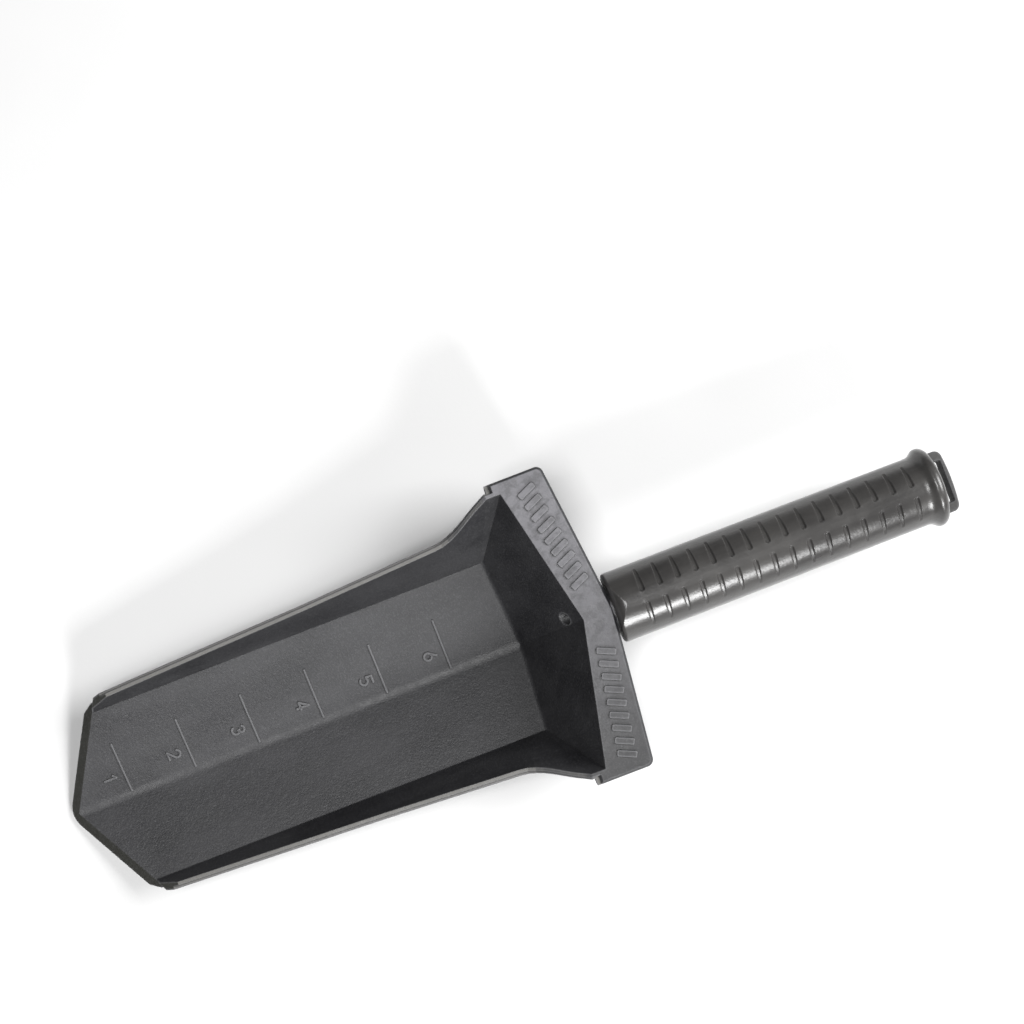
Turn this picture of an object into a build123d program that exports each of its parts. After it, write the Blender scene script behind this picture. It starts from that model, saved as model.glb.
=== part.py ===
from build123d import *
import math
import os

# Detecting shovel: a moulded plastic digging trowel with a V-floored scoop, a wide guard behind
# it, a round grip and a lanyard eyelet. Millimetres, +Z up, +X towards the grip.
# The shape is drawn from the back end of the scoop's floor crease, at (0, 0, 0), and moved at the
# end so that the origin is the middle of the underside.

# ---- scoop ----
INCH = 25.4
WALL = 2.8
FLOOR_HALF = 32.8            # floor edge from the centreline
FLOOR_RISE = 8.0             # floor edge above the crease
SIDE_LEAN = 0.40             # outward run of a side wall per unit of height
TIP_X = -178.6
TIP_ROUND = 9.0
SHOULDER_X = -159.4          # where the pointed tip meets the side walls
SHOULDER_Y = 33.7
SHOULDER_SPREAD = 0.6        # outward run of the edge per unit of length behind the shoulder
RIM_FRONT = (-147.1, 15.8)   # (x, z) of the front end of the rim
RIM_MIDDLE = (-67.2, 23.4)
RIM_BACK = (-16.7, 29.5)     # where the rim starts to flare out to the guard
FLARE_POINTS = ((-10.0, 42.9, 31.3), (-5.5, 45.0, 33.2), (0.4, 48.3, 35.6))
FLARE_END_X = 6.6
FLARE_FLOOR_X = -3.2         # floor edge under the end of the flare
FLARE_STEPS = 9
LEDGE_WIDTH = 1.5            # step along the outside of the rim and the guard's front
LEDGE_DROP = 1.4             # how far the step lies below the rim
CREASE_R = 8.0               # rounding of the floor crease
HEEL_R = 2.4                 # rounding where the floor meets the back wall
BEVEL_WIDTH = 3.4            # bevel that sharpens the tip
BEVEL_DEPTH = 2.2
KEEL_WIDTH = 16.0
KEEL_DEPTH = 3.1             # flat keel below the crease

# ---- guard ----
GUARD_TOP = 38.0
GUARD_HALF = 55.9
GUARD_FRONT_X = 7.2
GUARD_BACK_X = 34.5          # back edge on the centreline
GUARD_BACK_SWEEP = 0.11      # how far the back edge comes forward per unit from the centreline
WALL_SLOPE = 0.6126          # back wall: x gained per unit of height
WALL_SWEEP = 0.2226          # back wall: x lost per unit from the centreline
CORNER_Y = 51.3              # top of the corner between the back wall and a side wall
GUARD_FOOT_HALF = 29.0
GUARD_SIDE_Z = 24.0          # bottom of the guard's upright ends
GUARD_BEVEL = 0.9
RIB_THICK = 2.4
RIB_PLACES = (15.5, 34.0)
TREAD_COUNT = 9
TREAD_SIZE = (7.0, 2.3)
TREAD_HEIGHT = 0.6
TREAD_PITCH = 4.5
TREAD_START = 13.0
TREAD_TURN = 24.0

# ---- inch marks ----
FIRST_MARK_X = TIP_X + 24.2
MARK_COUNT = 6
MARK_ENDS = (0.8, 20.5)
MARK_WIDTH = 0.7
MARK_HEIGHT = 0.45
DIGIT_TALL = 4.6
DIGIT_WIDE = 2.8
DIGIT_STROKE = 0.8
DIGIT_Y = 8.1
DIGIT_GAP = 5.6              # from a mark to the middle of its digit, towards the tip

# ---- handle ----
AXIS_Z = 29.5
GRIP_END_X = 156.45
GRIP_R_FRONT = 12.9
GRIP_R_BACK = 12.5
GRIP_NOSE = 1.2
GRIP_BROW = 4.8              # rounding of the top of the grip down to the guard
COLLAR_START_X = 148.9
COLLAR_X = 153.4
COLLAR_R = 14.4
COLLAR_END_R = 12.2
GROOVE_COUNT = 16
GROOVE_FIRST_X = 45.8
GROOVE_PITCH = 6.66
GROOVE_DEPTH = 0.62
GROOVE_FLOOR = 0.9           # width of a groove's floor, between sides that slope at 45 degrees
GROOVE_MIDDLE = 9.0          # degrees down the flank to the deepest place
GROOVE_FADE = 40.0           # degrees from the deepest place to where a groove runs out
SPINE_HALF = 1.7             # smooth strip along the top that the grooves stop at
CORE_R = 8.2
FIT_GAP = 0.05
SOCKET_END_X = 74.0
SPIGOT_R = 6.0
SPIGOT_FRONT_X = 26.0
SPIGOT_FLAT = 4.6            # flat under the spigot, from the axis, that stops it turning
FLANGE_R = 10.9              # flange on the core, sunk in the collar, that holds the grip on
FLANGE_THICK = 1.2

# ---- lanyard eyelet ----
EYE_END_X = 162.2
EYE_BOW = 0.9                # how far the eyelet's end bows out
EYE_HALF = 11.2
EYE_THICK = 6.6
EYE_CORNER = 2.6
SLOT_HALF = 7.65
SLOT_BACK_X = 160.6          # the slot runs from here to the end of the grip

# ---- screw and insert ----
SCREW_Y = 2.7
SCREW_R = 1.25
THREAD_PITCH = 0.45
HEAD_R = 2.25
HEAD_LENGTH = 2.5
HEAD_SEAT_X = 24.0
HEAD_BORE_R = 2.4
HEX_ACROSS = 2.0
SCREW_LENGTH = 12.0
SCREW_HOLE_R = 1.4
INSERT_R = 2.05
INSERT_LENGTH = 6.0
KNURL_COUNT = 18

OUTER_EDGE = (FLOOR_HALF + 2.4, FLOOR_RISE - WALL)   # (y, z) of the lower outer corner
MIDDLE_X = (TIP_X + EYE_END_X) / 2
TALL = 70.0


def along_x(sketch, start, end):
    """Extrude a sketch drawn on YZ from x = start to x = end."""
    return Pos(start, 0, 0) * extrude(Plane.YZ * sketch, amount=end - start)


def both_sides(solid):
    """Add the mirror image across the centre plane."""
    return solid + mirror(solid, about=Plane.XZ)


def back_wall_x(y, z):
    """x of the scoop's back wall at a height and a distance from the centre plane."""
    return WALL_SLOPE * z - WALL_SWEEP * y


def straight_ruling(x, z):
    """Ruling of the plain, unflared part of the side wall."""
    return x, (x, FLOOR_HALF + SIDE_LEAN * (z - FLOOR_RISE), z)


def flare_rulings():
    """Rulings of the flared end of a side wall, where the rim curves outwards."""
    start = straight_ruling(*RIM_BACK)[1]
    end = (FLARE_END_X, CORNER_Y, GUARD_TOP)
    rim = Spline(start, *FLARE_POINTS, end, tangents=((1, 0.05, 0.12), (1, 0.48, 0.39)))
    rulings = []
    for step in range(1, FLARE_STEPS + 1):
        part_way = step / FLARE_STEPS
        floor_x = FLARE_FLOOR_X - (FLARE_FLOOR_X - RIM_BACK[0]) * (1 - part_way) ** 2
        rulings.append((floor_x, tuple(rim @ part_way)))
    return rulings


def wall_rulings():
    """Straight lines up the inside of the side wall, front to back: floor edge x, rim point."""
    before_tip = (TIP_X - 20, 11.0)
    straight = [straight_ruling(x, z) for x, z in (before_tip, RIM_MIDDLE, RIM_BACK)]
    corner = (back_wall_x(CORNER_Y, GUARD_TOP), CORNER_Y, GUARD_TOP)
    return [*straight, *flare_rulings(), (back_wall_x(FLOOR_HALF, FLOOR_RISE), corner)]


def inside_section(floor_x, rim):
    """Half of the scoop's inner section at one ruling, carried on upwards past the rim."""
    reach = (TALL - FLOOR_RISE) / (rim[2] - FLOOR_RISE)
    edge = (floor_x, FLOOR_HALF, FLOOR_RISE)
    top_x, top_y, top_z = [e + reach * (r - e) for e, r in zip(edge, rim)]
    last = floor_x == back_wall_x(FLOOR_HALF, FLOOR_RISE)
    crease = (0 if last else floor_x, 0, 0)
    centre = (back_wall_x(0, top_z) if last else top_x, 0, top_z)
    return Wire.make_polygon([crease, edge, (top_x, top_y, top_z), centre])


def outside_section(floor_x, rim):
    """Half of the scoop's outer section at one ruling, with a ledge along the rim's outer edge."""
    edge = (floor_x, *OUTER_EDGE)
    rim_x, rim_y, rim_z = rim
    outer_rim = (rim_x, rim_y + WALL, rim_z)
    part_up = 1 - LEDGE_DROP / (rim_z - OUTER_EDGE[1])
    low_x, low_y, low_z = [e + part_up * (r - e) for e, r in zip(edge, outer_rim)]
    land_y = rim_y + WALL - LEDGE_WIDTH
    upper = [(low_x, land_y, low_z), (rim_x, land_y, TALL), (rim_x, 0, TALL)]
    return Wire.make_polygon([(floor_x, 0, -KEEL_DEPTH), edge, (low_x, low_y, low_z), *upper])


def scoop_outside():
    """The scoop's outer shape as a solid that runs up past the rim and back into the guard."""
    end_x = GUARD_FRONT_X + 2 * WALL
    rulings = wall_rulings()[:-1] + [(end_x, (end_x, CORNER_Y, GUARD_TOP))]
    half = Solid.make_loft([outside_section(floor_x, rim) for floor_x, rim in rulings], True)
    solid = both_sides(Part() + half)
    lower = solid.edges().filter_by(lambda e: abs(e.center().Z - OUTER_EDGE[1]) < 0.1)
    return fillet(lower, 3.0)


def scoop_inside():
    """The scoop's inside, running up past the rim, with its back corners rounded."""
    half = Solid.make_loft([inside_section(floor_x, rim) for floor_x, rim in wall_rulings()], True)
    solid = both_sides(Part() + half)
    heel = solid.edges().filter_by(lambda e: -3 < e.center().X < 1 and e.center().Z < FLOOR_RISE)
    return fillet(heel, HEEL_R)


def crease_filler():
    """Strip that rounds the sharp bottom of the V floor."""
    tilt = math.atan2(FLOOR_RISE, FLOOR_HALF)
    half = CREASE_R * math.sin(tilt)
    side = half * math.tan(tilt)
    bottom = CREASE_R / math.cos(tilt) - CREASE_R
    lines = [
        ThreePointArc((-half, side), (0, bottom), (half, side)),
        Polyline((half, side), (half, side - 1), (0, -1), (-half, side - 1), (-half, side)),
    ]
    return along_x(make_face(lines), TIP_X - 1, HEEL_R)


def rim_profile():
    """Everything above the rim, the raked front of the side walls and the guard, side on."""
    low = (TIP_X - 20, FLOOR_RISE)
    shoulder = (SHOULDER_X, FLOOR_RISE)
    guard = (GUARD_FRONT_X, GUARD_TOP)
    back = (GUARD_BACK_X + 10, GUARD_TOP)
    flare = [(x, z) for _, (x, y, z) in flare_rulings()]
    rim = [RIM_FRONT, RIM_MIDDLE, RIM_BACK, *flare, guard]
    return make_face(Polyline(low, shoulder, *rim, back, (back[0], TALL), (low[0], TALL), close=True))


def above_rim():
    """The space that the rim profile sweeps across the whole width."""
    return extrude(Plane.XZ * rim_profile(), amount=80, both=True)


def tip_apex_x():
    """x of the sharp point that the rounded tip is cut from."""
    half = math.atan2(SHOULDER_Y, SHOULDER_X - TIP_X)
    return TIP_X - TIP_ROUND * (1 / math.sin(half) - 1)


def blade_plan():
    """Outline of the scoop from above: a rounded point, then wide enough for everything behind."""
    reach = 80
    wide_x = SHOULDER_X + (reach - SHOULDER_Y) / SHOULDER_SPREAD
    side = [(SHOULDER_X, SHOULDER_Y), (wide_x, reach), (EYE_END_X, reach)]
    other = [(x, -y) for x, y in reversed(side)]
    plan = make_face(Polyline((tip_apex_x(), 0), *side, *other, close=True))
    tip = plan.vertices().sort_by(Axis.X)[0]
    return fillet(tip, TIP_ROUND)


def guard_plan(inset):
    """Outline of the guard from above, set in all round by inset."""
    side = GUARD_HALF - inset
    back = GUARD_BACK_X - inset
    side_back = back - GUARD_BACK_SWEEP * side
    front = GUARD_FRONT_X + inset
    points = [(front, side), (side_back, side), (back, 0), (side_back, -side), (front, -side)]
    plan = make_face(Polyline(*points, close=True))
    if inset:
        return plan
    corners = plan.vertices().filter_by(lambda v: abs(v.Y) > 1 and v.X > GUARD_FRONT_X + 5)
    return fillet(corners, 2.6)


def guard_block():
    """The guard before it is cored: upright ends, and sides that slope in to a flat foot."""
    foot = (GUARD_FOOT_HALF, -KEEL_DEPTH)
    side = (GUARD_HALF, GUARD_SIDE_Z)
    top = (GUARD_HALF, GUARD_TOP)
    points = [foot, side, top, (-top[0], top[1]), (-side[0], side[1]), (-foot[0], foot[1])]
    face = make_face(Polyline(*points, close=True))
    lower = face.vertices().filter_by(lambda v: v.Y < GUARD_TOP)
    shield = along_x(fillet(lower, 5), 0, GUARD_BACK_X + 10)
    block = shield & extrude(guard_plan(0), amount=TALL, both=True)
    ledge = Box(LEDGE_WIDTH, 3 * GUARD_HALF, 2 * LEDGE_DROP)
    block -= Pos(GUARD_FRONT_X + LEDGE_WIDTH / 2, 0, GUARD_TOP) * ledge
    return chamfer(block.edges().group_by(Axis.Z)[-1], GUARD_BEVEL)


def behind_wall(gap):
    """All the space behind the scoop's back wall, starting gap away from its front face."""
    start = gap * math.sqrt(1 + WALL_SLOPE**2 + WALL_SWEEP**2)
    corners = [(0, -TALL), (TALL, -TALL), (TALL, TALL), (0, TALL)]
    face = make_face(Polyline(*[(back_wall_x(y, z) + start, y, z) for y, z in corners], close=True))
    return both_sides(extrude(face, amount=2 * TALL, dir=(1, 0, 0)))


def handle_rod(radius, start, end):
    """A round rod on the handle's axis."""
    return Pos(0, 0, AXIS_Z) * along_x(Circle(radius), start, end)


def spigot(radius, start, end):
    """A rod on the handle's axis with a flat underneath."""
    below = Box(end - start, 4 * radius, 2 * radius)
    middle = Pos((start + end) / 2, 0, AXIS_Z - SPIGOT_FLAT - radius)
    return handle_rod(radius, start, end) - middle * below


def guard_pockets():
    """Hollows cut up into the guard from below, between its skins, ribs and the handle socket."""
    hollow = extrude(guard_plan(WALL), amount=TALL, both=True) & behind_wall(WALL)
    hollow -= Pos(0, 0, GUARD_TOP - WALL + TALL) * Box(4 * TALL, 4 * TALL, 2 * TALL)
    hollow -= handle_rod(CORE_R + 1.6, 0, GUARD_BACK_X)
    hollow -= Pos(0, 0, AXIS_Z - TALL / 2) * Box(4 * TALL, RIB_THICK, TALL)
    for place in RIB_PLACES:
        for side in (-1, 1):
            hollow -= Pos(0, side * place, 0) * Box(4 * TALL, RIB_THICK, 2 * TALL)
    return hollow


def floor_plane(x):
    """Plane on the +Y half of the floor, its own x along the scoop and y up the slope."""
    tilt = math.atan2(FLOOR_RISE, FLOOR_HALF)
    return Plane(origin=(x, 0, 0), x_dir=(1, 0, 0), z_dir=(0, -math.sin(tilt), math.cos(tilt)))


def straight_stroke(start, end):
    """A straight round-ended stroke of a numeral."""
    (x0, y0), (x1, y1) = start, end
    place = Pos((x0 + x1) / 2, (y0 + y1) / 2) * Rot(0, 0, math.degrees(math.atan2(y1 - y0, x1 - x0)))
    return place * SlotCenterToCenter(math.hypot(x1 - x0, y1 - y0), DIGIT_STROKE)


def curved_stroke(centre, radius, start, turn):
    """A round-ended stroke along an arc, from an angle through a turn in degrees."""
    return SlotArc(CenterArc(centre, radius, start, turn), DIGIT_STROKE)


def ring_face(radius):
    """A closed round stroke of a numeral."""
    return Circle(radius + DIGIT_STROKE / 2) - Circle(radius - DIGIT_STROKE / 2)


def numeral(number):
    """A flat numeral in round-ended strokes, centred, drawn upright."""
    top = DIGIT_TALL / 2
    side = DIGIT_WIDE / 2
    ring = side - top
    strokes = {
        1: [
            straight_stroke((-0.8, top - 1), (0.3, top)),
            straight_stroke((0.3, top), (0.3, -top)),
        ],
        2: [
            curved_stroke((0, top - side), side, 160, -200),
            straight_stroke((side, top - side - 0.6), (-side, -top)),
            straight_stroke((-side, -top), (side, -top)),
        ],
        3: [
            curved_stroke((0, top - 1.2), 1.2, 150, -235),
            curved_stroke((0, ring - 0.1), side, 90, -240),
        ],
        4: [
            straight_stroke((0.7, -top), (0.7, top)),
            straight_stroke((0.7, top), (-side, -0.9)),
            straight_stroke((-side, -0.9), (side, -0.9)),
        ],
        5: [
            straight_stroke((side, top), (-1.2, top)),
            straight_stroke((-1.2, top), (-1.3, 0.4)),
            curved_stroke((0, ring), side, 120, -250),
        ],
        6: [
            Pos(0, ring) * ring_face(side),
            straight_stroke((-side + 0.1, ring + 0.3), (0.5, top)),
        ],
    }
    glyph = Sketch()
    for stroke in strokes[number]:
        glyph += stroke
    return Rot(0, 0, -90) * glyph


def inch_marks():
    """Raised lines one inch apart, each with its number beside it on the side of the tip."""
    start, end = MARK_ENDS
    marks = Part()
    for number in range(1, MARK_COUNT + 1):
        plane = floor_plane(FIRST_MARK_X + INCH * (number - 1))
        line = Pos(0, (start + end) / 2, 0) * Rectangle(MARK_WIDTH, end - start)
        digit = Pos(-DIGIT_GAP, DIGIT_Y) * numeral(number)
        for face in (line, digit):
            marks += extrude(plane * face, amount=MARK_HEIGHT) + extrude(plane * face, amount=-0.3)
    return marks


def treads():
    """Slanted raised bars along both halves of the guard's top face."""
    bars = Part()
    for step in range(TREAD_COUNT):
        y = TREAD_START + TREAD_PITCH * step
        x = (back_wall_x(y, GUARD_TOP) + GUARD_BACK_X - GUARD_BACK_SWEEP * y) / 2
        face = Pos(x, y) * Rot(0, 0, TREAD_TURN) * RectangleRounded(*TREAD_SIZE, radius=0.6)
        bars += Pos(0, 0, GUARD_TOP - 0.3) * extrude(face, amount=TREAD_HEIGHT + 0.3)
    return both_sides(bars)


def tip_bevel():
    """Sloping cut that sharpens the pointed tip from above."""
    tilt = math.atan2(FLOOR_RISE, FLOOR_HALF)
    apex_x = tip_apex_x()
    floor = floor_plane(apex_x)
    edge = Vector(SHOULDER_X - apex_x, SHOULDER_Y / math.cos(tilt), 0).normalized()
    inward = Vector(edge.Y, -edge.X, 0)
    along = floor.from_local_coords(edge) - floor.origin
    across = floor.from_local_coords(inward) - floor.origin
    steep = BEVEL_DEPTH / BEVEL_WIDTH
    reach = 6
    outer_top = (-reach, BEVEL_DEPTH + steep * reach)
    section = [(BEVEL_WIDTH, 0), (BEVEL_WIDTH, -reach), (-reach, -reach), outer_top]
    frame = Plane(origin=floor.origin, x_dir=across, z_dir=along)
    wedge = extrude(frame * make_face(Polyline(*section, close=True)), amount=60, both=True)
    return both_sides(wedge & Pos(apex_x, TALL / 2, 0) * Box(2 * TALL, TALL, TALL))


def blade():
    """Scoop, inch marks, guard and handle socket as one moulding."""
    keel_end = GUARD_FRONT_X + WALL
    keel = Pos((TIP_X + keel_end) / 2, 0, -KEEL_DEPTH / 2) * Box(keel_end - TIP_X, KEEL_WIDTH, KEEL_DEPTH)
    body = scoop_outside() + keel + guard_block() - scoop_inside() - above_rim() - guard_pockets()
    body += crease_filler()
    body &= extrude(blade_plan(), amount=TALL, both=True)
    body -= tip_bevel()
    body += handle_rod(CORE_R, GUARD_BACK_X - 1, SOCKET_END_X)
    body -= spigot(SPIGOT_R + FIT_GAP, SPIGOT_FRONT_X, SOCKET_END_X + 1)
    body -= Pos(0, SCREW_Y, 0) * handle_rod(HEAD_BORE_R, 0, HEAD_SEAT_X)
    body -= Pos(0, SCREW_Y, 0) * handle_rod(SCREW_HOLE_R, HEAD_SEAT_X, SPIGOT_FRONT_X + 1)
    return body + inch_marks() + treads()


def grip_outline():
    """Half section of the grip in (x, r): rounded nose, slow taper, flared collar, stepped bore."""
    bore = CORE_R + FIT_GAP
    seat_r = FLANGE_R + FIT_GAP
    seat_x = GRIP_END_X - FLANGE_THICK
    start = GUARD_BACK_X
    nose = (start + GRIP_NOSE, GRIP_R_FRONT)
    nose_low = (start, GRIP_R_FRONT - GRIP_NOSE)
    nose_mid = (start + GRIP_NOSE * 0.32, GRIP_R_FRONT - GRIP_NOSE * 0.3)
    flare = (COLLAR_START_X, GRIP_R_BACK)
    crest = (COLLAR_X, COLLAR_R)
    end = (GRIP_END_X, COLLAR_END_R)
    lines = [
        ThreePointArc(nose_low, nose_mid, nose),
        Line(nose, flare),
        Spline(flare, crest, end, tangents=((1, 0), (0.1, -1))),
        Polyline(end, (GRIP_END_X, seat_r), (seat_x, seat_r), (seat_x, bore), (start, bore), nose_low),
    ]
    return make_face(lines)


def turned(outline):
    """Turn an (x, r) half section about the handle's axis."""
    return Pos(0, 0, AXIS_Z) * revolve(Plane.XZ * outline, axis=Axis.X, revolution_arc=360)


def grip_radius(x):
    """Radius of the tapered grip at x."""
    return GRIP_R_FRONT - (GRIP_R_FRONT - GRIP_R_BACK) * (x - GUARD_BACK_X) / (COLLAR_START_X - GUARD_BACK_X)


def groove_pair(x):
    """Cutter for two grooves that curve down the flanks about an axis set below the grip's own."""
    radius = grip_radius(x)
    drop = GROOVE_DEPTH / (1 - math.cos(math.radians(GROOVE_FADE)))
    middle = math.radians(GROOVE_MIDDLE)
    axis = (-drop * math.sin(middle), -drop * math.cos(middle))
    floor_r = radius + drop - GROOVE_DEPTH
    half = GROOVE_FLOOR / 2
    tall = 2 * GROOVE_DEPTH + 1
    start_y = SPINE_HALF + half + GROOVE_DEPTH
    start_z = math.sqrt(radius**2 - start_y**2)
    start = math.degrees(math.atan2(start_y - axis[0], start_z - axis[1]))
    low, high = floor_r, floor_r + tall
    section = [(x - half, low), (x + half, low), (x + half + tall, high), (x - half - tall, high)]
    sweep = GROOVE_MIDDLE + 2 * GROOVE_FADE - start
    ring = revolve(Plane.XZ * make_face(Polyline(*section, close=True)), axis=Axis.X, revolution_arc=sweep)
    end = Pos(x, 0, low + tall / 2) * Cone(half, half + tall, tall)
    cutter = Rot(-start - sweep, 0, 0) * ring + Rot(-start, 0, 0) * end
    return both_sides(Pos(0, axis[0], AXIS_Z + axis[1]) * cutter)


def brow_cut():
    """Cutter that rounds the top of the grip down to the guard, seen from the side."""
    back = GUARD_BACK_X + GRIP_BROW
    top = AXIS_Z + GRIP_R_FRONT
    low = (GUARD_BACK_X, top - GRIP_BROW)
    bend = GRIP_BROW * math.sqrt(0.5)
    lines = [
        ThreePointArc(low, (back - bend, top - GRIP_BROW + bend), (back, top)),
        Polyline((back, top), (back, top + 1), (GUARD_BACK_X - 1, top + 1), (GUARD_BACK_X - 1, low[1]), low),
    ]
    return extrude(Plane.XZ * make_face(lines), amount=2 * GRIP_R_FRONT, both=True)


def grip_sleeve():
    """Glossy round grip with grooves down its flanks and a collar at its end."""
    body = turned(grip_outline()) - brow_cut()
    for step in range(GROOVE_COUNT):
        body -= groove_pair(GROOVE_FIRST_X + GROOVE_PITCH * step)
    return body


def eyelet():
    """Flat lanyard eyelet on the end of the core, with a bowed end and a slot right behind the grip."""
    start = GRIP_END_X
    corner_x = EYE_END_X - EYE_BOW
    lines = [
        Polyline((corner_x, EYE_HALF), (start, EYE_HALF), (start, -EYE_HALF), (corner_x, -EYE_HALF)),
        ThreePointArc((corner_x, -EYE_HALF), (EYE_END_X, 0), (corner_x, EYE_HALF)),
    ]
    outline = make_face(lines)
    corners = outline.vertices().filter_by(lambda v: v.X > start + 1)
    plate = extrude(fillet(corners, EYE_CORNER), amount=EYE_THICK / 2, both=True)
    slot_start = start - 1
    slot = RectangleRounded(SLOT_BACK_X - slot_start, 2 * SLOT_HALF, radius=0.8)
    plate -= Pos((slot_start + SLOT_BACK_X) / 2, 0, 0) * extrude(slot, amount=EYE_THICK, both=True)
    edges = plate.edges().filter_by(lambda e: e.center().X > start + 0.1)
    levels = edges.group_by(Axis.Z)
    return Pos(0, 0, AXIS_Z) * fillet(levels[0] + levels[-1], 0.4)


def handle_core():
    """Stiff core of the handle: spigot, full-width body, and a flange and the eyelet at its end."""
    flange = handle_rod(FLANGE_R, GRIP_END_X - FLANGE_THICK, GRIP_END_X)
    rod = handle_rod(CORE_R, SOCKET_END_X, GRIP_END_X)
    body = spigot(SPIGOT_R, SPIGOT_FRONT_X, SOCKET_END_X) + rod + flange + eyelet()
    screw_line = Pos(0, SCREW_Y, 0)
    body -= screw_line * handle_rod(SCREW_HOLE_R, SPIGOT_FRONT_X, HEAD_SEAT_X + SCREW_LENGTH + 1)
    insert_end = SPIGOT_FRONT_X + INSERT_LENGTH
    return body - screw_line * handle_rod(INSERT_R + FIT_GAP, SPIGOT_FRONT_X, insert_end)


def tang_screw():
    """Socket-head screw with ring-cut threads, its head sunk in the scoop's back wall."""
    tip = HEAD_SEAT_X + SCREW_LENGTH
    front = HEAD_SEAT_X - HEAD_LENGTH
    points = [(front, 0), (front, HEAD_R), (HEAD_SEAT_X, HEAD_R), (HEAD_SEAT_X, SCREW_R)]
    turns = int((SCREW_LENGTH - 3) / THREAD_PITCH)
    for turn in range(turns):
        x = HEAD_SEAT_X + 2 + THREAD_PITCH * turn
        points += [(x, SCREW_R), (x + THREAD_PITCH / 2, SCREW_R - 0.25)]
    points += [(tip - 0.6, SCREW_R), (tip, SCREW_R - 0.6), (tip, 0)]
    body = turned(make_face(Polyline(*points, close=True)))
    socket = RegularPolygon(HEX_ACROSS / 2, 6, major_radius=False)
    body -= Pos(0, 0, AXIS_Z) * along_x(socket, front - 0.1, front + 1.5)
    rim = body.edges().filter_by(GeomType.CIRCLE).group_by(Axis.X)[0]
    return Pos(0, SCREW_Y, 0) * fillet(rim, 0.35)


def threaded_insert():
    """Knurled brass insert in the front of the core."""
    end = SPIGOT_FRONT_X + INSERT_LENGTH
    body = handle_rod(INSERT_R, SPIGOT_FRONT_X, end) - handle_rod(SCREW_R + FIT_GAP, SPIGOT_FRONT_X, end)
    notch = Rot(45, 0, 0) * Box(INSERT_LENGTH - 1.6, 0.4, 0.4)
    for tooth in range(KNURL_COUNT):
        turn = Pos(SPIGOT_FRONT_X + INSERT_LENGTH / 2, 0, AXIS_Z) * Rot(360 / KNURL_COUNT * tooth, 0, 0)
        body -= turn * Pos(0, 0, INSERT_R) * notch
    return Pos(0, SCREW_Y, 0) * body


def main():
    """Write one STEP file per piece, with the origin in the middle of the underside."""
    pieces = {
        "blade": blade,
        "handle_core": handle_core,
        "grip_sleeve": grip_sleeve,
        "tang_screw": tang_screw,
        "threaded_insert": threaded_insert,
    }
    os.makedirs("parts", exist_ok=True)
    for name, make in pieces.items():
        export_step(Pos(-MIDDLE_X, 0, KEEL_DEPTH) * make(), f"parts/{name}.step")


if __name__ == "__main__":
    main()
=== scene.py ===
import math

import bpy
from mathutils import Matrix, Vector

# Camera: straight above the shovel, with the shovel low in the frame.
CAMERA_AT = (0.0050, 0.0, 0.6031)
CAMERA_TURN = math.radians(-21.02)
LENS_MM = 56.7
SHIFT_RIGHT = -0.0007
SHIFT_UP = 0.1318

# Soft boxes: name, bearing from +X towards +Y, height angle (degrees), distance, width, watts.
LIGHTS = [
    ("key_light", 0, 41, 1.3, 0.6, 23.0),
    ("side_light", 277, 32, 1.3, 0.3, 18.0),
    ("top_light", 185, 80, 1.4, 0.5, 15.0),
]
WORLD_LIGHT = 0.05
FLOOR_SIDE = 3.0

# Colours of the nylon.
BLADE_DARK = (0.010, 0.010, 0.0115, 1)
BLADE_PALE = (0.022, 0.022, 0.024, 1)
CORE_DARK = (0.008, 0.008, 0.0075, 1)
CORE_PALE = (0.014, 0.0135, 0.013, 1)
GUARD_TOP_SHEEN = (0.098, 0.096, 0.105, 1)          # painted highlight on the guard's top face
GUARD_PATCH_AND_SHADE = (0.010, 0.010, 0.011, 1)         # painted shade at the guard's −Y end, and darker random patches on its top face
# Painted highlight on the rim's level top faces.
RIM_TOP_SHEEN = (0.090, 0.087, 0.080, 1)
TIP_BEVEL_TONE = (0.017, 0.017, 0.014, 1)         # olive tone on the bevel round the tip
# Painted highlight on outward edges; also the colour of the pale specks in the nylon.
EDGE_SHEEN_AND_SPECK = (0.110, 0.110, 0.115, 1)
# Painted shade in tight inward corners and creases.
CREVICE_SHADE = (0.006, 0.006, 0.006, 1)

# Where those colours start and are complete, in metres in the part's frame.
RIM_SIDE = (0.0338, 0.0345)                # distance from the centreline
GUARD_HEIGHT = (0.0400, 0.0408)
GUARD_SHEEN_SPAN = (-0.060, 0.050)                # across the guard, from painted shade at −Y to painted highlight at +Y
TIP_X = (-0.130, -0.134)

# Vertical part of the surface normal of level and of sloping faces.
LEVEL = (0.90, 0.97)
BEVEL_STEEPEST = (0.70, 0.74)
BEVEL_FLATTEST = (0.93, 0.90)


def socket(node, name):
    """Input socket of a node by name, the enabled one where several share a name."""
    return next(s for s in node.inputs if s.name == name and s.enabled)


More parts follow.
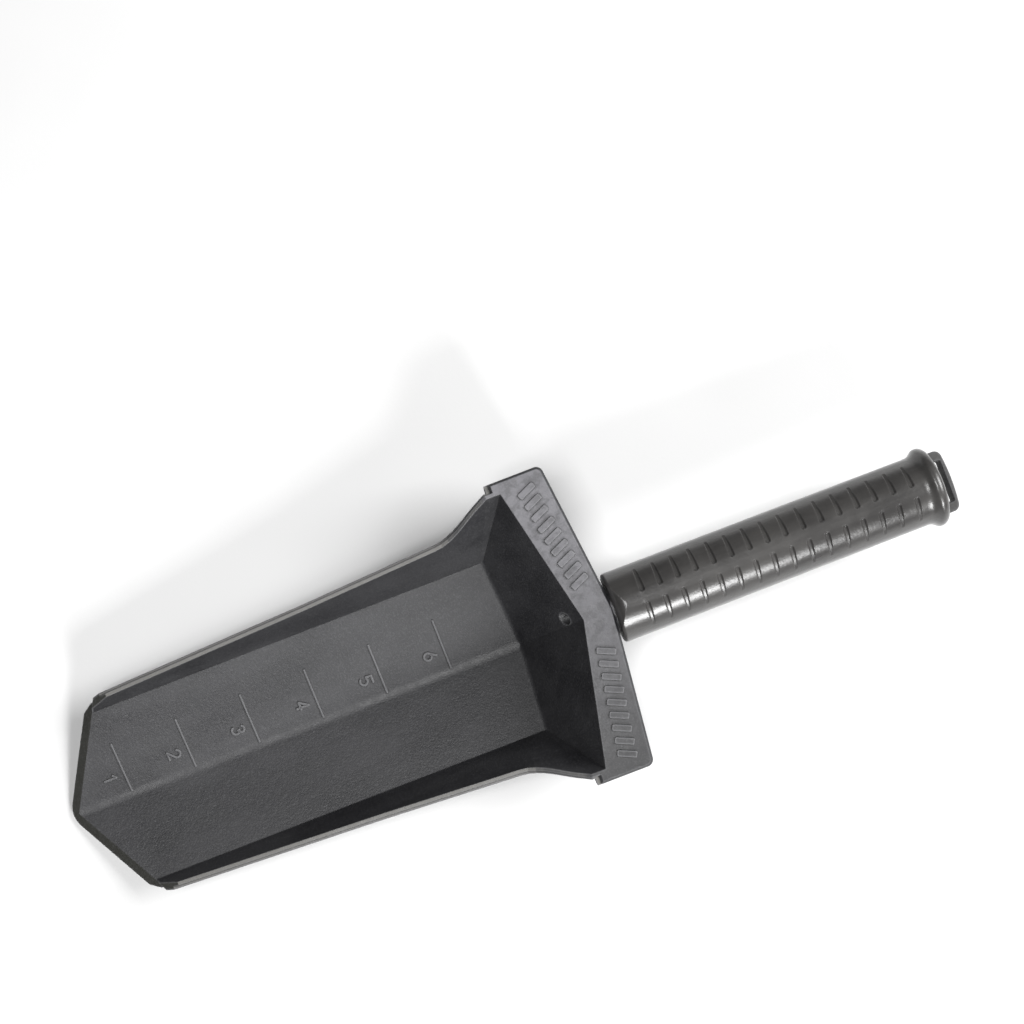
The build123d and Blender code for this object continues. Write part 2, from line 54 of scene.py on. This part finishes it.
class Graph:
    """A material's node tree with short calls to add and join nodes."""

    def __init__(self, name):
        self.material = bpy.data.materials.new(name)
        self.material.use_nodes = True
        self.tree = self.material.node_tree
        self.tree.nodes.clear()
        self.out = self.tree.nodes.new("ShaderNodeOutputMaterial")
        self.coords = self.tree.nodes.new("ShaderNodeTexCoord").outputs["Object"]

    def add(self, kind, settings=(), **inputs):
        """Adds a node. Inputs are values or other nodes' outputs, with _ for a space in a name."""
        node = self.tree.nodes.new(kind)
        for key, value in dict(settings).items():
            setattr(node, key, value)
        for key, value in inputs.items():
            target = socket(node, key.replace("_", " "))
            if isinstance(value, bpy.types.NodeSocket):
                self.tree.links.new(value, target)
            else:
                target.default_value = value
        return node

    def math(self, operation, a, b=0.5):
        """Arithmetic on two values or outputs."""
        node = self.tree.nodes.new("ShaderNodeMath")
        node.operation = operation
        for slot, value in zip(node.inputs, (a, b)):
            if isinstance(value, bpy.types.NodeSocket):
                self.tree.links.new(value, slot)
            else:
                slot.default_value = value
        return node.outputs[0]

    def stretched(self, scale):
        """Object coordinates scaled by a different amount on each axis."""
        node = self.add("ShaderNodeMapping", Scale=scale)
        self.tree.links.new(self.coords, node.inputs["Vector"])
        return node.outputs["Vector"]

    def noise(self, scale, detail, roughness, vector=None):
        """Noise from 0 to 1; scale is in features per metre."""
        node = self.add("ShaderNodeTexNoise", Scale=scale, Detail=detail, Roughness=roughness)
        self.tree.links.new(vector or self.coords, node.inputs["Vector"])
        return node.outputs["Fac"]

    def spread(self, value, low, high, to_low=0.0, to_high=1.0):
        """Maps a value from one range to another, smoothly and clamped."""
        settings = {"interpolation_type": "SMOOTHSTEP"}
        node = self.add("ShaderNodeMapRange", settings, Value=value)
        ends = {"From Min": low, "From Max": high, "To Min": to_low, "To Max": to_high}
        for name, number in ends.items():
            node.inputs[name].default_value = number
        return node.outputs["Result"]

    def mix(self, factor, a, b):
        """Blend of two colours."""
        node = self.tree.nodes.new("ShaderNodeMix")
        node.data_type = "RGBA"
        for name, value in (("Factor", factor), ("A", a), ("B", b)):
            slot = socket(node, name)
            if isinstance(value, bpy.types.NodeSocket):
                self.tree.links.new(value, slot)
            else:
                slot.default_value = value
        return next(s for s in node.outputs if s.enabled)

    def edges(self, width):
        """0 on flats and in hollows, towards 1 on outward edges, over this width in metres."""
        settings = {"inside": True, "only_local": True, "samples": 6}
        within = self.add("ShaderNodeAmbientOcclusion", settings, Distance=width)
        return self.spread(within.outputs["AO"], 0.96, 0.60)

    def crevices(self, width):
        """0 on open faces, towards 1 in tight inward corners, where shade is painted."""
        settings = {"only_local": True, "samples": 6}
        around = self.add("ShaderNodeAmbientOcclusion", settings, Distance=width)
        return self.spread(around.outputs["AO"], 0.92, 0.55)

    def bump(self, height, distance, normal=None):
        """Normal with fine relief of this depth in metres, on top of another normal."""
        node = self.add("ShaderNodeBump", Height=height, Distance=distance, Strength=1.0)
        if normal is not None:
            self.tree.links.new(normal, node.inputs["Normal"])
        return node.outputs["Normal"]

    def soft_normal(self, width):
        """Normal that rounds sharp edges over this width."""
        return self.add("ShaderNodeBevel", {"samples": 6}, Radius=width).outputs[0]

    def finish(self, **inputs):
        """Ends the material with a Principled shader."""
        shader = self.add("ShaderNodeBsdfPrincipled", **inputs)
        self.tree.links.new(shader.outputs[0], self.out.inputs["Surface"])
        return self.material


def sheen_painted_faces(g, base):
    """Painted highlight on the level top faces of the rim and guard, strongest on the guard's +Y half with
    painted shade at its −Y end, and a dark tip bevel.
    """
    place = g.add("ShaderNodeSeparateXYZ")
    g.tree.links.new(g.coords, place.inputs[0])
    facing = g.add("ShaderNodeSeparateXYZ")
    g.tree.links.new(g.add("ShaderNodeNewGeometry").outputs["True Normal"], facing.inputs[0])
    upward = facing.outputs["Z"]
    outer = g.spread(g.math("ABSOLUTE", place.outputs["Y"]), *RIM_SIDE)
    high = g.spread(place.outputs["Z"], *GUARD_HEIGHT)
    # Painted light on the guard's top: shade towards −Y, highlight towards +Y, with random darker mottle.
    guard_sheen = g.mix(g.spread(place.outputs["Y"], *GUARD_SHEEN_SPAN), GUARD_PATCH_AND_SHADE, GUARD_TOP_SHEEN)
    mottle = g.spread(g.noise(260, 3.0, 0.65), 0.42, 0.66, 0.0, 0.45)
    sheen_and_rub = g.mix(high, RIM_TOP_SHEEN, g.mix(mottle, guard_sheen, GUARD_PATCH_AND_SHADE))
    top_face = g.math("MULTIPLY", g.spread(upward, *LEVEL), g.math("MAXIMUM", outer, high))
    lands = g.mix(top_face, base, sheen_and_rub)
    sloped = g.math("MULTIPLY", g.spread(upward, *BEVEL_STEEPEST), g.spread(upward, *BEVEL_FLATTEST))
    tip = g.math("MULTIPLY", sloped, g.spread(place.outputs["X"], *TIP_X))
    return g.mix(tip, lands, TIP_BEVEL_TONE)


def spark_nylon(name, dark, pale, rough, grain_depth):
    """Black moulded nylon: fine spark texture, faint flow marks, painted highlight on outward edges and
    painted shade in inward corners.
    """
    g = Graph(name)
    grain = g.noise(1500, 3.0, 0.6)
    pits = g.noise(420, 2.0, 0.5)
    patches = g.noise(38, 3.0, 0.6)
    flow = g.noise(1.0, 3.0, 0.55, g.stretched((22, 90, 90)))
    edge = g.edges(0.0007)
    tone = g.math("ADD", g.math("MULTIPLY", patches, 0.5), g.math("MULTIPLY", flow, 0.5))
    base = g.mix(g.spread(tone, 0.35, 0.68), dark, pale)
    # Painted highlight on outward edges.
    edge_sheen = g.mix(g.math("MULTIPLY", edge, 0.7), sheen_painted_faces(g, base), EDGE_SHEEN_AND_SPECK)
    speck = g.mix(g.spread(grain, 0.45, 0.80, 0.0, 0.22), edge_sheen, EDGE_SHEEN_AND_SPECK)
    # Painted shade in tight inward corners, creases and round the raised marks.
    crevice_shaded = g.mix(g.math("MULTIPLY", g.crevices(0.0009), 0.7), speck, CREVICE_SHADE)
    roughness = g.math("ADD", g.spread(tone, 0.3, 0.7, rough - 0.06, rough + 0.07),
                       g.spread(pits, 0.35, 0.65, -0.03, 0.03))
    relief = g.math("ADD", grain, g.math("MULTIPLY", pits, 0.8))
    normal = g.bump(relief, grain_depth, g.soft_normal(0.0005))
    return g.finish(Base_Color=crevice_shaded, Roughness=roughness, Normal=normal, Specular_IOR_Level=0.5)


def handled_grip(name):
    """Smooth black grip, a little brown and glossier where hands polish it."""
    g = Graph(name)
    grain = g.noise(1100, 2.0, 0.5)
    cloud = g.noise(45, 4.0, 0.6)
    rub = g.noise(1.0, 4.0, 0.6, g.stretched((35, 160, 160)))
    edge = g.edges(0.0006)
    tone = g.math("ADD", g.math("MULTIPLY", cloud, 0.6), g.math("MULTIPLY", rub, 0.4))
    base = g.mix(g.spread(tone, 0.35, 0.65), (0.026, 0.025, 0.0245, 1), (0.040, 0.0385, 0.037, 1))
    # Painted highlight on the grip's outward edges.
    edge_sheen = g.mix(g.math("MULTIPLY", edge, 0.5), base, (0.080, 0.077, 0.076, 1))
    roughness = g.spread(tone, 0.3, 0.7, 0.26, 0.38)
    relief = g.math("ADD", grain, g.math("MULTIPLY", rub, 1.5))
    normal = g.bump(relief, 0.00006, g.soft_normal(0.0004))
    return g.finish(Base_Color=edge_sheen, Roughness=roughness, Normal=normal, Specular_IOR_Level=0.3,
                    Coat_Weight=0.7, Coat_Roughness=0.26, Coat_IOR=1.35)


def blackened_steel(name):
    """Blackened steel screw with turned rings and slightly paler edges."""
    g = Graph(name)
    rings = g.noise(1.0, 2.0, 0.5, g.stretched((4000, 300, 300)))
    cloud = g.noise(300, 3.0, 0.6)
    edge = g.edges(0.0002)
    base = g.mix(g.spread(cloud, 0.35, 0.7), (0.010, 0.010, 0.011, 1), (0.025, 0.025, 0.026, 1))
    sheen_and_rub = g.mix(edge, base, (0.16, 0.16, 0.165, 1))
    roughness = g.spread(rings, 0.3, 0.7, 0.28, 0.45)
    return g.finish(Base_Color=sheen_and_rub, Metallic=0.6, Roughness=roughness, Normal=g.bump(rings, 0.00001))


def knurled_brass(name):
    """Brass insert, dulled in its knurling."""
    g = Graph(name)
    cloud = g.noise(500, 3.0, 0.6)
    edge = g.edges(0.0002)
    base = g.mix(g.spread(cloud, 0.35, 0.7), (0.42, 0.28, 0.10, 1), (0.66, 0.47, 0.20, 1))
    bright = g.mix(edge, base, (0.85, 0.66, 0.33, 1))
    return g.finish(Base_Color=bright, Metallic=1.0, Roughness=g.spread(cloud, 0.3, 0.7, 0.25, 0.42),
                    Normal=g.bump(cloud, 0.00001))


def paper_floor(name):
    """Pale matt studio paper with a barely visible mottle."""
    g = Graph(name)
    cloud = g.noise(6, 3.0, 0.6)
    fibre = g.noise(700, 2.0, 0.5)
    base = g.mix(g.spread(cloud, 0.3, 0.7), (0.54, 0.54, 0.54, 1), (0.57, 0.57, 0.57, 1))
    return g.finish(Base_Color=base, Roughness=0.85, Normal=g.bump(fibre, 0.00002), Specular_IOR_Level=0.2)


def paint(nodes):
    """Gives each CAD node its finish."""
    finishes = {
        "blade": spark_nylon("blade_nylon", BLADE_DARK, BLADE_PALE, 0.50, 0.00009),
        "handle_core": spark_nylon("core_nylon", CORE_DARK, CORE_PALE, 0.55, 0.00006),
        "grip_sleeve": handled_grip("grip_rubber"),
        "tang_screw": blackened_steel("screw_steel"),
        "threaded_insert": knurled_brass("insert_brass"),
    }
    for name, material in finishes.items():
        mesh = nodes[name].data
        mesh.materials.clear()
        mesh.materials.append(material)


def studio_floor():
    """Flat pale floor that the shovel lies on."""
    mesh = bpy.data.meshes.new("studio_floor")
    half = FLOOR_SIDE / 2
    corners = [(-half, -half, 0), (half, -half, 0), (half, half, 0), (-half, half, 0)]
    mesh.from_pydata(corners, [], [(0, 1, 2, 3)])
    floor = bpy.data.objects.new("studio_floor", mesh)
    bpy.context.scene.collection.objects.link(floor)
    mesh.materials.append(paper_floor("studio_paper"))


def soft_box(name, bearing, height, distance, width, watts):
    """Square area light that faces the shovel."""
    data = bpy.data.lights.new(name, "AREA")
    data.energy = watts
    data.size = width
    lamp = bpy.data.objects.new(name, data)
    bpy.context.scene.collection.objects.link(lamp)
    turn, tilt = math.radians(bearing), math.radians(height)
    towards = Vector((math.cos(turn) * math.cos(tilt), math.sin(turn) * math.cos(tilt), math.sin(tilt)))
    lamp.location = towards * distance
    lamp.rotation_euler = towards.to_track_quat("Z", "Y").to_euler()


def sky(level):
    """Even pale light from all round."""
    world = bpy.data.worlds.new("studio_sky")
    world.use_nodes = True
    back = world.node_tree.nodes["Background"]
    back.inputs["Color"].default_value = (1.0, 1.0, 1.0, 1.0)
    back.inputs["Strength"].default_value = level
    bpy.context.scene.world = world


def camera():
    """Camera looking straight down on the shovel."""
    data = bpy.data.cameras.new("camera")
    data.lens = LENS_MM
    data.sensor_width = 36.0
    data.shift_x = SHIFT_RIGHT
    data.shift_y = SHIFT_UP
    data.clip_start = 0.01
    data.clip_end = 20
    eye = bpy.data.objects.new("camera", data)
    eye.location = CAMERA_AT
    eye.rotation_euler = (0, 0, CAMERA_TURN)
    bpy.context.scene.collection.objects.link(eye)
    bpy.context.scene.camera = eye


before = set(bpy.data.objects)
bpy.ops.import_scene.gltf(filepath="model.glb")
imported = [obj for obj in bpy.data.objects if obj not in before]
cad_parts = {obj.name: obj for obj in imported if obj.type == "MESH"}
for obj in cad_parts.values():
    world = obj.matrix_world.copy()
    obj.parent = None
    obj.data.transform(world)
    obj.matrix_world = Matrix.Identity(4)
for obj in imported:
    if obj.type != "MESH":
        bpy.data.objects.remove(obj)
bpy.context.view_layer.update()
paint(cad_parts)
studio_floor()
sky(WORLD_LIGHT)
for light in LIGHTS:
    soft_box(*light)
camera()
bpy.context.scene.view_settings.view_transform = "Standard"
